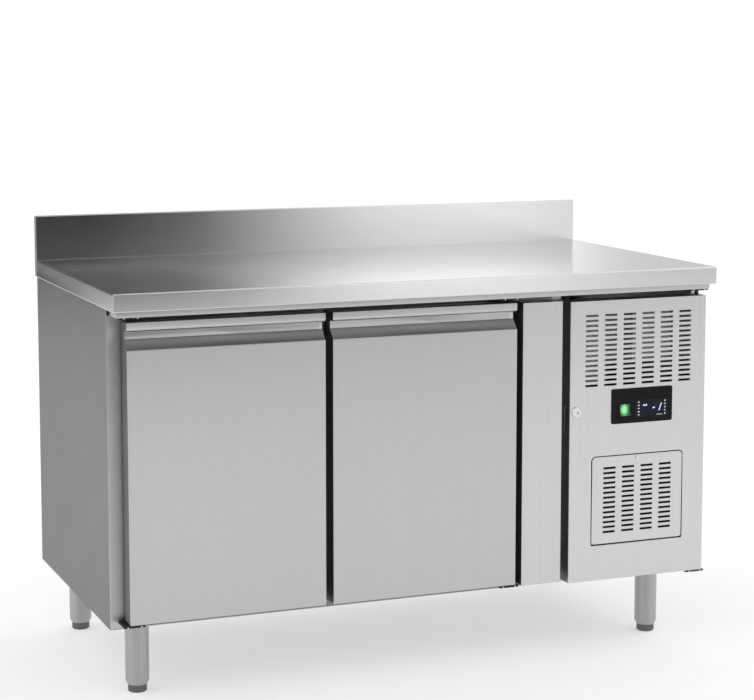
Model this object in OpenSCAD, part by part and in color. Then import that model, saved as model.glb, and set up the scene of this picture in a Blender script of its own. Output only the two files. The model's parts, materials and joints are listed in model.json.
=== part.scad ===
// Undercounter refrigerator: two insulated doors, a fixed strip over the evaporator and a
// machine compartment at the right, under a worktop with an upstand, on four adjustable legs.
// X runs to the right, Y to the back and Z up. The origin is on the floor, under the middle.

/* [Counter] */
// Width over the worktop
counter_w = 1360; // [1320:5:1400]
// Depth over the worktop
counter_d = 700; // [690:5:720]
// Height from the floor to the worktop
worktop_h = 850; // [840:5:870]
// Height of the upstand above the worktop
upstand_h = 100; // [60:5:150]
// Thickness of the upstand
upstand_t = 12; // [8:1:20]
// Depth of the fold along the worktop's edges
fascia_h = 38; // [34:1:42]

/* [Cabinet] */
// Height of the cabinet's underside above the floor
leg_h = 159; // [150:1:165]
// Thickness of the side and back walls with their foam
wall_t = 60; // [55:1:64]
// Thickness of the steel sheet
sheet_t = 1; // [0.8:0.1:1.2]
// Distance from the worktop's front edge back to the face that the doors seal on
frame_setback = 70; // [68:1:74]

/* [Doors] */
// Thickness of a door without its seal
door_t = 42; // [40:1:44]
// Gap between the two doors
door_gap = 16; // [14:1:18]
// Height of the lip that the fingers pull on
lip_h = 11.5; // [10:0.5:13]
// Depth of the finger recess
grip_depth = 20; // [18:0.5:22]
// Radius of the hinge pins
pin_r = 5; // [4:0.5:5]
// Radial clearance of a pin in its bush
pin_clearance = 0.05; // [0.02:0.01:0.09]

/* [Machine compartment] */
// Width of the front panel
machine_w = 334; // [330:1:338]
// Width of the fixed strip between the right door and the front panel
filler_w = 94; // [90:1:98]
// Width of a ventilation slot
slot_w = 30; // [26:1:34]
// Height of a ventilation slot
slot_h = 5; // [4:0.5:6]
// Radius of the condenser fan
fan_r = 90; // [80:1:92]

/* [Legs] */
// Outer radius of a leg tube
leg_r = 25; // [22:1:27]
// Radius of an adjustable foot
foot_r = 20; // [17:1:20]
// Height of a foot that shows when it is screwed right in
foot_h = 16; // [12:1:20]

/* [Hidden] */
$fn = 48;

// Colours of the materials
steel = [0.74, 0.75, 0.76];
dull_steel = [0.6, 0.61, 0.62];
black = [0.07, 0.07, 0.08];
foam = [0.93, 0.86, 0.62];
copper = [0.72, 0.42, 0.25];
fin_metal = [0.82, 0.83, 0.85];
board = [0.6, 0.47, 0.33];
green = [0.2, 0.8, 0.3];
mesh_grey = [0.3, 0.31, 0.33];

// Worktop and cabinet limits
half_w = counter_w / 2;
front_y = -counter_d / 2;
back_y = counter_d / 2;
worktop_back = back_y - upstand_t;
fascia_bottom = worktop_h - fascia_h;
top_sheet = 1.2;
return_w = 20;
tray_h = 12;
cabinet_top = fascia_bottom - tray_h;
side_x = half_w - 3;
back_flange = 25;
cabinet_back = back_y - 5;
frame_y = front_y + frame_setback;
door_y = front_y + 17;
foam_x0 = -side_x + sheet_t;
foam_y0 = frame_y + sheet_t;
foam_y1 = cabinet_back - sheet_t;
foam_z0 = leg_h + sheet_t;
foam_z1 = cabinet_top;

// Front layout, from the right: machine panel, filler strip, right door, left door
panel_x1 = side_x - 13;
panel_x0 = panel_x1 - machine_w;
panel_gap = 19;
filler_x1 = panel_x0 - panel_gap;
filler_x0 = filler_x1 - filler_w;
filler_gap = 14;
stile_w = 28;
right_door_x1 = filler_x0 - filler_gap;
left_door_x0 = -side_x + stile_w;
door_w = (right_door_x1 - left_door_x0 - door_gap) / 2;
left_door_x1 = left_door_x0 + door_w;
right_door_x0 = right_door_x1 - door_w;
door_z0 = leg_h + 19;
door_z1 = cabinet_top - 10;
door_back = door_y + door_t;

// Seal ring, measured in from the door's edges, and the opening that it surrounds
seal_w = 15;
seal_hinge_in = 13;
seal_free_in = 5;
seal_top_in = 22;
seal_bottom_in = 12;
seal_to_opening = 4;
opening_hinge_in = seal_hinge_in + seal_w + seal_to_opening;
opening_free_in = seal_free_in + seal_w + seal_to_opening;
cavity_z0 = door_z0 + seal_bottom_in + seal_w + seal_to_opening;
cavity_z1 = door_z1 - seal_top_in - seal_w - seal_to_opening;
cavity_x0 = -side_x + wall_t;
cavity_y1 = cabinet_back - wall_t;
mullion_x0 = left_door_x1 - opening_free_in;
mullion_x1 = right_door_x0 + opening_free_in;
jamb_x = right_door_x1 - opening_hinge_in;
partition_x = panel_x0 + 2;
evaporator_x1 = partition_x - wall_t;
evaporator_x0 = jamb_x + 16;
rail_return = 40;
post_depth = 60;

// Hinges
lip_curl = 7.5;
recess_flat = 16;
recess_slope = 21;
hinge_in = 11;
hinge_y = door_y + door_t / 2;
left_hinge_x = left_door_x0 + hinge_in;
right_hinge_x = right_door_x1 - hinge_in;
bush_r = 8;
bush_l = 14;
bush_flange = 2;
bracket_t = 4;
bore_r = pin_r + pin_clearance;

// Machine panel and what it carries
panel_z0 = leg_h + 9;
panel_z1 = cabinet_top - 14;
panel_t = 43;
panel_hinge_x = panel_x1 - hinge_in - 2;
panel_pin_r = 4;
panel_return = 12;
slot_pitch_x = 46;
slot_pitch_z = 10.9;
grille_cols = 6;
grille_rows = 15;
grille_z = panel_z1 - 32.5;
plate_w = 150;
plate_h = 77;
plate_x = panel_x0 + 101;
plate_z = panel_z1 - 273;
plate_proud = 2;
plate_y = door_y - plate_proud;
rocker_x = panel_x0 + 133.5;
rocker_z = panel_z1 - 243.5;
rocker_w = 25;
rocker_h = 29;
rocker_pin_r = 1.5;
rocker_pivot_y = door_y + 4;
display_x = panel_x0 + 158;
display_z = panel_z1 - 262;
display_w = 80;
display_h = 40;
lock_x = panel_x0 + 16;
lock_z = panel_z1 - 241;
lock_r = 12;
tongue_l = 42;
tongue_y = door_y + 22;
tongue_t = 2.5;
barrel_r = 9;
cover_x = panel_x0 + 56;
cover_z = panel_z1 - 537;
cover_w = 223;
cover_h = 193;
cover_r = 8;
cover_groove = 2.2;
window_low_r = 4;
cover_head = 20;
cover_pin_r = 1.5;
cover_pin_y = door_y + 3.2;
cover_pin_z = cover_z + 2.6;
cover_cols = 4;
cover_rows = 14;
screw_x = cover_x + cover_w / 2;
screw_z = cover_z + cover_h - 7;
screw_r = 2.5;

// Cold side
shelf_z = 470;
shelf_w = 325;
shelf_d = 530;
shelf_y = (frame_y + cavity_y1) / 2 + 4;
left_shelf_x = (cavity_x0 + mullion_x0) / 2;
right_shelf_x = (mullion_x1 + jamb_x) / 2;
wire_r = 3;
guide_t = 1.5;
guide_lip = 22;
guide_y0 = frame_y + post_depth + 5;
guide_y1 = cavity_y1 - 30;
upright_w = 22;
upright_t = 5;
evaporator_fan_y = 30;
evaporator_fan_z = 620;
evaporator_fan_r = 80;
drip_z = cavity_z0 + 22;
drip_y1 = 254;
drain_y = drip_y1 - 22;
drain_r = 8;
drain_wall = 1.5;
pipe_z = 560;
suction_y = -120;
liquid_in_y = -90;
evaporator_l = 370;
evaporator_d = 56;
evaporator_h = 190;
evaporator_z = drip_z + 30;
evaporator_top = evaporator_z + evaporator_h;
upright_ys = [-190, 200];

// Machine side
machine_mid_x = (partition_x + side_x) / 2;
shaft_r = 3;
condenser_y = frame_y + 45;
condenser_w = 230;
condenser_h = 250;
condenser_d = 44;
condenser_rows = 7;
condenser_z = leg_h + 26;
shroud_y = condenser_y + condenser_d + 1;
shroud_d = 34;
condenser_fan_z = condenser_z + condenser_h / 2;
motor_gap = 12;
compressor_y = 130;
compressor_z = leg_h + 26;
compressor_r = 80;
compressor_h = 190;
tube_r = 5;
mount_pitch_x = 150;
mount_pitch_y = 110;
floor_fold = 1.5;
pan_y = 218;
pan_d = 110;
drier_x = partition_x + 20;
drier_y = -60;
drier_z = leg_h + 130;
inlet_x = side_x - 60;
inlet_z = leg_h + 70;
inlet_thread_r = 8;

// Legs
leg_x = 600;
leg_front_y = -196;
leg_back_y = 300;
stem_r = 8;
foot_travel = 40;

// ---- shared shapes ----

// A box between two corners
module slab(low, high) {
    translate(low)
        cube(high - low);
}

// A plate in the XZ plane with rounded corners, growing to the back from its front face
module round_plate(x, y, z, w, t, h, r) {
    difference() {
        slab([x, y, z], [x + w, y + t, z + h]);
        for (right = [0, 1], up = [0, 1])
            translate([x + right * w, y, z + up * h])
                corner_cut(r, t, right, up);
    }
}

// What rounding takes off one corner of a plate in the XZ plane
module corner_cut(r, t, right, up) {
    cx = right == 1 ? -r : r;
    cz = up == 1 ? -r : r;
    difference() {
        translate([min(cx, 0) - (right == 1 ? 0 : 1), -1, min(cz, 0) - (up == 1 ? 0 : 1)])
            cube([r + 1, t + 2, r + 1]);
        translate([cx, -2, cz])
            rotate([-90, 0, 0])
                cylinder(r = r, h = t + 4);
    }
}

// A round bar along X, Y or Z from a start point
module bar_x(start, length, r) {
    translate(start)
        rotate([0, 90, 0])
            cylinder(r = r, h = length);
}
module bar_y(start, length, r) {
    translate(start)
        rotate([-90, 0, 0])
            cylinder(r = r, h = length);
}
module bar_z(start, length, r) {
    translate(start)
        cylinder(r = r, h = length);
}

// Straight lengths of tube with a ball at each turn, through a list of points
module tube_run(points, r) {
    for (i = [0 : len(points) - 2]) {
        step = points[i + 1] - points[i];
        length = norm(step);
        translate(points[i])
            rotate([0, acos(step[2] / length), atan2(step[1], step[0])])
                cylinder(r = r, h = length, $fn = 24);
        translate(points[i + 1])
            sphere(r = r, $fn = 24);
    }
}

// Rows and columns of ventilation slots, as the cutters that make them
module slots(x, z, cols, rows, y, t) {
    for (c = [0 : cols - 1], r = [0 : rows - 1])
        slab([x + c * slot_pitch_x, y - 1, z - r * slot_pitch_z - slot_h / 2],
             [x + c * slot_pitch_x + slot_w, y + t + 1, z - r * slot_pitch_z + slot_h / 2]);
}

// Fins threaded on rows of tube, with the tubes along X and wider return bends over their ends
module finned_coil(length, depth, height, fins, rows, cols, r) {
    fin_t = 1;
    tube_end = 6;
    bend_start = 5;
    bend_r = r + 0.5;
    pitch_y = depth / cols;
    pitch_z = height / rows;
    for (f = [0 : fins - 1])
        translate([f * (length - fin_t) / (fins - 1), 0, 0])
            cube([fin_t, depth, height]);
    for (c = [0 : cols - 1], k = [0 : rows - 1])
        bar_x([-tube_end, (c + 0.5) * pitch_y, (k + 0.5) * pitch_z], length + 2 * tube_end, r);
    for (c = [0 : cols - 1], k = [0 : rows - 2])
        translate([k % 2 == 0 ? length + bend_start : -bend_start, (c + 0.5) * pitch_y, (k + 1) * pitch_z])
            rotate([0, 0, k % 2 == 0 ? 0 : 180])
                rotate([90, 0, 0])
                    rotate([0, 0, -90])
                        rotate_extrude(angle = 180)
                            translate([pitch_z / 2, 0])
                                circle(r = bend_r, $fn = 24);
}

// An axial fan with its hub bored for the motor's shaft, turning about Z
module fan_rotor(r, blades, depth) {
    hub_r = r * 0.28;
    difference() {
        union() {
            cylinder(r = hub_r, h = depth);
            intersection() {
                cylinder(r = r, h = depth);
                for (b = [0 : blades - 1])
                    rotate([0, 0, b * 360 / blades])
                        translate([hub_r - 2, -r * 0.28, depth / 2])
                            rotate([28, 0, 0])
                                translate([0, 0, -1])
                                    cube([r, r * 0.56, 2]);
            }
        }
        translate([0, 0, -1])
            cylinder(r = shaft_r + pin_clearance, h = depth * 0.8);
    }
}

// A small shaded-pole motor with its shaft towards +Z, on a bar held by two posts
module fan_motor(body_r, body_l, shaft_l, arm_l, post_l) {
    translate([0, 0, -body_l])
        cylinder(r = body_r, h = body_l);
    cylinder(r = shaft_r, h = shaft_l);
    translate([-arm_l - 6, -8, -body_l - 2])
        cube([2 * arm_l + 12, 16, 2]);
    for (side = [-1, 1])
        translate([side * arm_l, 0, -body_l - 1])
            cylinder(r = 4, h = body_l + 1 + post_l);
}

// ---- worktop ----

module worktop_skin() {
    color(steel)
        difference() {
            slab([-half_w, front_y, fascia_bottom], [half_w, worktop_back, worktop_h]);
            slab([-half_w + top_sheet, front_y + top_sheet, fascia_bottom + top_sheet],
                 [half_w - top_sheet, worktop_back - top_sheet, worktop_h - top_sheet]);
            slab([-half_w + return_w, front_y + return_w, fascia_bottom - 1],
                 [half_w - return_w, worktop_back - return_w, fascia_bottom + 2 * top_sheet]);
        }
}

module worktop_core() {
    color(board)
        slab([-half_w + top_sheet, front_y + top_sheet, fascia_bottom + top_sheet],
             [half_w - top_sheet, worktop_back - top_sheet, worktop_h - top_sheet]);
}

// The upstand runs down behind the worktop, so that the two meet on one upright face
module upstand() {
    color(steel)
        difference() {
            slab([-half_w, worktop_back, fascia_bottom],
                 [half_w, back_y, worktop_h + upstand_h]);
            slab([-half_w + top_sheet, worktop_back + top_sheet, fascia_bottom - 1],
                 [half_w - top_sheet, back_y - top_sheet, worktop_h + upstand_h - top_sheet]);
        }
}

module top_tray() {
    tray_x = side_x - 6;
    tray_y0 = front_y + 15;
    tray_y1 = foam_y1 - 1;
    color(dull_steel)
        difference() {
            slab([-tray_x, tray_y0, cabinet_top], [tray_x, tray_y1, fascia_bottom]);
            slab([-tray_x + sheet_t, tray_y0 + sheet_t, cabinet_top + sheet_t],
                 [tray_x - sheet_t, tray_y1 - sheet_t, fascia_bottom + 1]);
        }
}

// ---- outer casing ----

// A side sheet with flanges folded in at the front and the back, for the left side
module side_sheet(front_flange) {
    slab([-side_x, frame_y, leg_h], [foam_x0, cabinet_back, fascia_bottom - 0.5]);
    slab([-side_x, frame_y, leg_h], [-side_x + front_flange, foam_y0, cabinet_top]);
    slab([-side_x, foam_y1, leg_h], [-side_x + back_flange, cabinet_back, cabinet_top]);
}

module side_panel_left() {
    color(steel)
        side_sheet(wall_t);
}

module side_panel_right() {
    front_flange = 22;
    color(steel)
        mirror([1, 0, 0])
            side_sheet(front_flange);
}

module back_panel() {
    vent_cols = 5;
    vent_rows = 16;
    vent_x = machine_mid_x - vent_cols / 2 * slot_pitch_x;
    vent_z = 700;
    color(dull_steel)
        difference() {
            slab([-side_x + back_flange + 0.5, foam_y1, leg_h],
                 [side_x - back_flange - 0.5, cabinet_back, cabinet_top]);
            slots(vent_x, vent_z, vent_cols, vent_rows, foam_y1, sheet_t);
            bar_y([inlet_x, foam_y1 - 1, inlet_z], 4, inlet_thread_r + 0.1);
        }
}

module base_panel() {
    color(dull_steel)
        slab([foam_x0, foam_y0, leg_h], [partition_x - sheet_t, foam_y1, foam_z0]);
}

// ---- face frame ----

module frame_rails() {
    color(steel) {
        slab([cavity_x0, frame_y, cavity_z1], [filler_x1, foam_y0, foam_z1]);
        slab([cavity_x0, foam_y0, cavity_z1],
             [evaporator_x1 - sheet_t, frame_y + rail_return, cavity_z1 + sheet_t]);
        slab([cavity_x0, frame_y, foam_z0], [filler_x1, foam_y0, cavity_z0]);
        slab([cavity_x0, foam_y0, cavity_z0 - sheet_t],
             [evaporator_x1 - sheet_t, frame_y + rail_return, cavity_z0]);
    }
}

module frame_posts() {
    post_wall = 1.2;
    color(steel) {
        difference() {
            slab([mullion_x0, frame_y, cavity_z0], [mullion_x1, frame_y + post_depth, cavity_z1]);
            slab([mullion_x0 + post_wall, frame_y + post_wall, cavity_z0 - 1],
                 [mullion_x1 - post_wall, frame_y + post_depth - post_wall, cavity_z1 + 1]);
        }
        slab([jamb_x, frame_y, cavity_z0], [filler_x1, foam_y0, cavity_z1]);
        slab([jamb_x, foam_y0, cavity_z0], [jamb_x + sheet_t, frame_y + post_depth, cavity_z1]);
    }
}

// ---- insulation and liner ----

// The ways through the partition for the drain and the two refrigerant pipes
module partition_ways() {
    way_x = evaporator_x1 - 2;
    way_l = wall_t + 4;
    bar_x([way_x, drain_y, drip_z + drain_r], way_l, drain_r + 0.5);
    for (y = [suction_y, liquid_in_y])
        bar_x([way_x, y, pipe_z], way_l, tube_r + 0.5);
}

module insulation() {
    color(foam)
        difference() {
            slab([foam_x0, foam_y0, foam_z0], [partition_x - sheet_t, foam_y1, foam_z1]);
            slab([cavity_x0 - sheet_t, frame_y - 1, cavity_z0 - sheet_t],
                 [evaporator_x1 + sheet_t, cavity_y1 + sheet_t, cavity_z1 + sheet_t]);
            partition_ways();
        }
}

module liner_sides() {
    color(dull_steel) {
        slab([cavity_x0 - sheet_t, foam_y0, cavity_z0], [cavity_x0, cavity_y1 + sheet_t, cavity_z1]);
        difference() {
            slab([evaporator_x1, foam_y0, cavity_z0],
                 [evaporator_x1 + sheet_t, cavity_y1 + sheet_t, cavity_z1]);
            partition_ways();
        }
    }
}

module liner_decks() {
    color(dull_steel)
        for (z = [cavity_z0 - sheet_t, cavity_z1])
            slab([cavity_x0 - sheet_t, frame_y + rail_return, z],
                 [evaporator_x1 + sheet_t, cavity_y1 + sheet_t, z + sheet_t]);
}

module liner_back() {
    color(dull_steel)
        slab([cavity_x0, cavity_y1, cavity_z0], [evaporator_x1, cavity_y1 + sheet_t, cavity_z1]);
}

module partition_panel() {
    color(dull_steel)
        difference() {
            union() {
                slab([partition_x - sheet_t, foam_y0, leg_h], [partition_x, foam_y1, foam_z1]);
                slab([filler_x1, frame_y, leg_h], [partition_x, foam_y0, foam_z1]);
            }
            partition_ways();
        }
}

module filler_panel() {
    z0 = door_z0 - 4;
    z1 = door_z1 - 1;
    color(steel)
        difference() {
            slab([filler_x0, door_y, z0], [filler_x1, frame_y, z1]);
            slab([filler_x0 + sheet_t, door_y + sheet_t, z0 + sheet_t],
                 [filler_x1 - sheet_t, frame_y + 1, z1 - sheet_t]);
            tongue_slot(filler_x1 - 3, 26);
        }
}

// The slot that the lock's tongue turns into, through a sheet at x
module tongue_slot(x, below) {
    slab([x, tongue_y - 2, lock_z - below - 8], [x + 6, tongue_y + tongue_t + 2, lock_z + 10]);
}

// ---- cold side ----

module evaporator_cover() {
    cover_y0 = frame_y + post_depth;
    cover_t = 2;
    inlets = 8;
    inlet_y0 = -150;
    inlet_y1 = 200;
    inlet_pitch = 14;
    inlet_z0 = cavity_z0 + 50;
    color(dull_steel) {
        difference() {
            slab([evaporator_x0, cover_y0, cavity_z0],
                 [evaporator_x0 + cover_t, cavity_y1, cavity_z1]);
            bar_x([evaporator_x0 - 1, evaporator_fan_y, evaporator_fan_z], cover_t + 2,
                  evaporator_fan_r + 6);
            for (k = [0 : inlets - 1])
                slab([evaporator_x0 - 1, inlet_y0, inlet_z0 + k * inlet_pitch],
                     [evaporator_x0 + cover_t + 1, inlet_y1, inlet_z0 + k * inlet_pitch + slot_h]);
        }
        translate([evaporator_x0, evaporator_fan_y, evaporator_fan_z])
            fan_guard();
    }
}

// Round wires and two cross bars over the evaporator fan's opening
module fan_guard() {
    wire = 1.2;
    first_ring = 25;
    ring_pitch = 20;
    reach = evaporator_fan_r + 7;
    for (r = [first_ring : ring_pitch : evaporator_fan_r])
        rotate([0, 90, 0])
            difference() {
                cylinder(r = r + wire, h = 2);
                translate([0, 0, -1])
                    cylinder(r = r - wire, h = 4);
            }
    for (turn = [45, 135])
        rotate([turn, 0, 0])
            translate([0, -reach, -wire])
                cube([2, 2 * reach, 2 * wire]);
}

module evaporator_coil() {
    coil_x1 = evaporator_x0 + 72;
    coil_y0 = -165;
    fins = 24;
    rows = 5;
    coil_tube_r = 4.5;
    color(fin_metal)
        translate([coil_x1, coil_y0, evaporator_z])
            rotate([0, 0, 90])
                finned_coil(evaporator_l, evaporator_d, evaporator_h, fins, rows, 2, coil_tube_r);
}

module fan_motors() {
    color(black) {
        translate([evaporator_x0 + 26, evaporator_fan_y, evaporator_fan_z])
            rotate([0, -90, 0])
                rotate([0, 0, 90])
                    fan_motor(27, 30, 15, evaporator_fan_r + 14, 24);
        translate([machine_mid_x, shroud_y + shroud_d + motor_gap, condenser_fan_z])
            rotate([90, 0, 0])
                fan_motor(32, 44, 20, fan_r + 14, motor_gap);
    }
}

module drip_tray() {
    x0 = evaporator_x0 + 8;
    x1 = evaporator_x1 - 2;
    y0 = -185;
    tray_wall = 1.5;
    tray_z0 = drip_z - 4;
    tray_z1 = drip_z + 22;
    spout_x = partition_x + 22;
    spout_z = leg_h + 50;
    color(dull_steel)
        difference() {
            union() {
                slab([x0, y0, tray_z0], [x1, drip_y1, tray_z1]);
                bar_x([x1 - 1, drain_y, drip_z + drain_r], spout_x - x1 + 1, drain_r);
                bar_z([spout_x, drain_y, spout_z], drip_z + drain_r - spout_z, drain_r);
                translate([spout_x, drain_y, drip_z + drain_r])
                    sphere(r = drain_r);
            }
            slab([x0 + tray_wall, y0 + tray_wall, tray_z0 + tray_wall],
                 [x1 - tray_wall, drip_y1 - tray_wall, tray_z1 + 1]);
            bar_x([x1 - 3, drain_y, drip_z + drain_r], spout_x - x1 + 3, drain_r - drain_wall);
            bar_z([spout_x, drain_y, spout_z - 1], drip_z + drain_r - spout_z + 1,
                  drain_r - drain_wall);
        }
}

// One perforated strip that the shelf guides hook on, standing against a wall at x
module upright(x, y) {
    hole = 10;
    hole_pitch = 60;
    difference() {
        slab([x, y - upright_w / 2, cavity_z0], [x + upright_t, y + upright_w / 2, cavity_z1]);
        for (z = [cavity_z0 + hole_pitch : hole_pitch : cavity_z1 - hole_pitch + hole])
            slab([x - 1, y - hole / 2, z], [x + upright_t + 1, y + hole / 2, z + hole]);
    }
}

module shelf_uprights() {
    color(dull_steel)
        for (x = [cavity_x0, mullion_x0 + 3, mullion_x1 - 3 - upright_t, evaporator_x0 - upright_t],
             y = upright_ys)
            upright(x, y);
}

// A folded runner: a foot from the uprights at x_wall to x_far, and a back against them
module guide(x_wall, x_far) {
    foot_z = shelf_z - wire_r - guide_t - 0.3;
    side = x_far > x_wall ? guide_t : -guide_t;
    slab([min(x_wall, x_far), guide_y0, foot_z], [max(x_wall, x_far), guide_y1, foot_z + guide_t]);
    slab([min(x_wall, x_wall + side), guide_y0, foot_z],
         [max(x_wall, x_wall + side), guide_y1, shelf_z + guide_lip]);
}

module shelf_guides() {
    reach = shelf_w / 2 - 12;
    color(dull_steel) {
        guide(cavity_x0 + upright_t, left_shelf_x - reach);
        guide(mullion_x0 + 3, left_shelf_x + reach);
        guide(mullion_x1 - 3, right_shelf_x - reach);
        guide(evaporator_x0 - upright_t, right_shelf_x + reach);
    }
}

// A welded wire shelf: a rim, cross bars under it and fine wires from front to back
module wire_shelf(x) {
    rim = wire_r;
    half = shelf_w / 2 - rim;
    deep = shelf_d / 2 - rim;
    wires = 15;
    cross_r = 2.2;
    fine_r = 1.4;
    translate([x, shelf_y, shelf_z]) {
        for (side = [-1, 1]) {
            bar_y([side * half, -deep, 0], 2 * deep, rim);
            bar_x([-half, side * deep, 0], 2 * half, rim);
            for (end = [-1, 1])
                translate([side * half, end * deep, 0])
                    sphere(r = rim);
        }
        for (y = [-deep / 3, deep / 3])
            bar_x([-half, y, -1], 2 * half, cross_r);
        for (i = [1 : wires])
            bar_y([-half + i * 2 * half / (wires + 1), -deep, 1.2], 2 * deep, fine_r);
    }
}

module shelf_left() {
    color(dull_steel)
        wire_shelf(left_shelf_x);
}

module shelf_right() {
    color(dull_steel)
        wire_shelf(right_shelf_x);
}

// ---- hinges ----

// One plate with its pin: it hangs from the tray or stands off the frame's face
module hinge_bracket(x, plate_z, pin_z0, pin_l, r) {
    plate_w = 44;
    past_pin = 13;
    slab([x - plate_w / 2, hinge_y - past_pin, plate_z],
         [x + plate_w / 2, frame_y, plate_z + bracket_t]);
    bar_z([x, hinge_y, pin_z0], pin_l, r);
}

module hinge_brackets() {
    high_plate = cabinet_top - bracket_t;
    low_plate = door_z0 - bush_flange - 1 - bracket_t;
    low_pin_l = 18;
    panel_pin_in = 10;
    panel_low_plate = panel_z0 - 2 - bracket_t;
    color(black) {
        for (x = [left_hinge_x, right_hinge_x]) {
            hinge_bracket(x, high_plate, door_z1 - 12, cabinet_top - door_z1 + 11, pin_r);
            hinge_bracket(x, low_plate, low_plate + 1, low_pin_l, pin_r);
        }
        hinge_bracket(panel_hinge_x, high_plate, panel_z1 - panel_pin_in,
                      cabinet_top - panel_z1 + panel_pin_in - 1, panel_pin_r);
        hinge_bracket(panel_hinge_x, panel_low_plate, panel_low_plate + 1,
                      low_pin_l - 2, panel_pin_r);
    }
}

// ---- machine compartment ----

module machine_floor() {
    lip = 14;
    x0 = partition_x + 0.5;
    x1 = side_x - sheet_t - 0.5;
    color(dull_steel)
        difference() {
            slab([x0, foam_y0, leg_h], [x1, foam_y1, leg_h + lip]);
            slab([x0 + floor_fold, foam_y0 + floor_fold, leg_h + floor_fold],
                 [x1 - floor_fold, foam_y1 - floor_fold, leg_h + lip + 1]);
        }
}

// Half of the compressor's outline: radius against height, with round shoulders
function shell_outline(r, h, shoulder) = concat(
    [[0, 0]],
    [for (a = [0 : 15 : 90]) [r - shoulder + shoulder * sin(a), shoulder - shoulder * cos(a)]],
    [for (a = [0 : 15 : 90]) [r - shoulder + shoulder * cos(a), h - shoulder + shoulder * sin(a)]],
    [[0, h]]
);

module compressor() {
    seam_z = compressor_h * 0.55;
    shoulder = 38;
    foot_t = 3;
    foot_w = mount_pitch_x / 2 + 14;
    foot_d = mount_pitch_y / 2 + 14;
    saddle_w = 44;
    saddle_d = 46;
    box_w = 40;
    box_z0 = 70;
    box_z1 = 130;
    translate([machine_mid_x, compressor_y, compressor_z])
        color(black)
            difference() {
                union() {
                    translate([0, 0, 8])
                        rotate_extrude()
                            polygon(shell_outline(compressor_r, compressor_h, shoulder));
                    translate([0, 0, seam_z])
                        cylinder(r = compressor_r + 3, h = 5);
                    slab([-foot_w, -foot_d, 0], [foot_w, foot_d, foot_t]);
                    slab([-saddle_w, -saddle_d, foot_t], [saddle_w, saddle_d, foot_t + 11]);
                    slab([-box_w, -compressor_r - 26, box_z0], [box_w, -compressor_r + 20, box_z1]);
                }
                for (x = [-0.5, 0.5], y = [-0.5, 0.5])
                    bar_z([x * mount_pitch_x, y * mount_pitch_y, -1], foot_t + 3, 6);
            }
}

// Rubber grommets between the compressor's foot plate and the floor, with waists
module compressor_mounts() {
    mount_h = compressor_z - leg_h - floor_fold;
    color(black)
        for (x = [-0.5, 0.5], y = [-0.5, 0.5])
            translate([machine_mid_x + x * mount_pitch_x, compressor_y + y * mount_pitch_y,
                       leg_h + floor_fold])
                rotate_extrude()
                    polygon([[0, 0], [11, 0], [11, 6], [8, 10], [8, 14], [11, 18],
                             [11, mount_h], [5.8, mount_h], [5.8, mount_h + 3],
                             [9, mount_h + 3], [9, mount_h + 7], [0, mount_h + 7]]);
}

module condenser_coil() {
    fins = 30;
    coil_tube_r = 4;
    color(fin_metal)
        translate([machine_mid_x - condenser_w / 2, condenser_y, condenser_z])
            finned_coil(condenser_w, condenser_d, condenser_h, fins, condenser_rows, 2, coil_tube_r);
}

module fan_shroud() {
    wall = 1.5;
    x0 = machine_mid_x - condenser_w / 2;
    x1 = x0 + condenser_w;
    z0 = leg_h + 16;
    z1 = condenser_z + condenser_h;
    color(dull_steel)
        difference() {
            slab([x0, shroud_y, z0], [x1, shroud_y + shroud_d, z1]);
            slab([x0 + wall, shroud_y - 1, z0 + wall],
                 [x1 - wall, shroud_y + shroud_d - wall, z1 - wall]);
            bar_y([machine_mid_x, shroud_y, condenser_fan_z], shroud_d + 1, fan_r + 4);
        }
}

module filter_drier() {
    body_r = 15;
    body_l = 90;
    neck_r = 6;
    neck_l = 12;
    color(copper)
        translate([drier_x, drier_y, drier_z]) {
            cylinder(r = body_r, h = body_l);
            translate([0, 0, body_l])
                cylinder(r1 = body_r, r2 = neck_r, h = neck_l);
            translate([0, 0, -neck_l])
                cylinder(r1 = neck_r, r2 = body_r, h = neck_l);
        }
}

// Copper tube: the suction line, the discharge line and the liquid line in two stretches
module refrigerant_pipes() {
    shell_low = compressor_z + 60;
    coil_x = evaporator_x0 + 44;
    suction_x = partition_x + 40;
    hot_x = side_x - 44;
    hot_z = condenser_z + condenser_h + 12;
    hot_y = condenser_y + condenser_d / 4;
    liquid_y = condenser_y + condenser_d * 3 / 4;
    row = condenser_h / condenser_rows;
    top_row_z = condenser_z + (condenser_rows - 0.5) * row;
    hot_r = 3.5;
    liquid_r = 3;
    color(copper) {
        tube_run([[coil_x, suction_y, evaporator_top - 4], [coil_x, suction_y, pipe_z],
                  [suction_x, suction_y, pipe_z], [suction_x, compressor_y, pipe_z],
                  [suction_x, compressor_y, shell_low],
                  [machine_mid_x - compressor_r + 2, compressor_y, shell_low]], tube_r);
        tube_run([[machine_mid_x + compressor_r - 2, compressor_y, shell_low],
                  [hot_x, compressor_y, shell_low], [hot_x, compressor_y, hot_z],
                  [hot_x, hot_y, hot_z], [hot_x, hot_y, top_row_z],
                  [machine_mid_x + condenser_w / 2 + 3, hot_y, top_row_z]], hot_r);
        tube_run([[machine_mid_x - condenser_w / 2 - 3, liquid_y, condenser_z + row / 2],
                  [drier_x, liquid_y, condenser_z + row / 2], [drier_x, drier_y, condenser_z + row / 2],
                  [drier_x, drier_y, drier_z - 10]], hot_r);
        tube_run([[drier_x, drier_y, drier_z + 100], [drier_x, drier_y, pipe_z + 40],
                  [drier_x, liquid_in_y, pipe_z + 40], [drier_x, liquid_in_y, pipe_z],
                  [coil_x, liquid_in_y, pipe_z], [coil_x, liquid_in_y, evaporator_top - 4]], liquid_r);
    }
}

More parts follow.
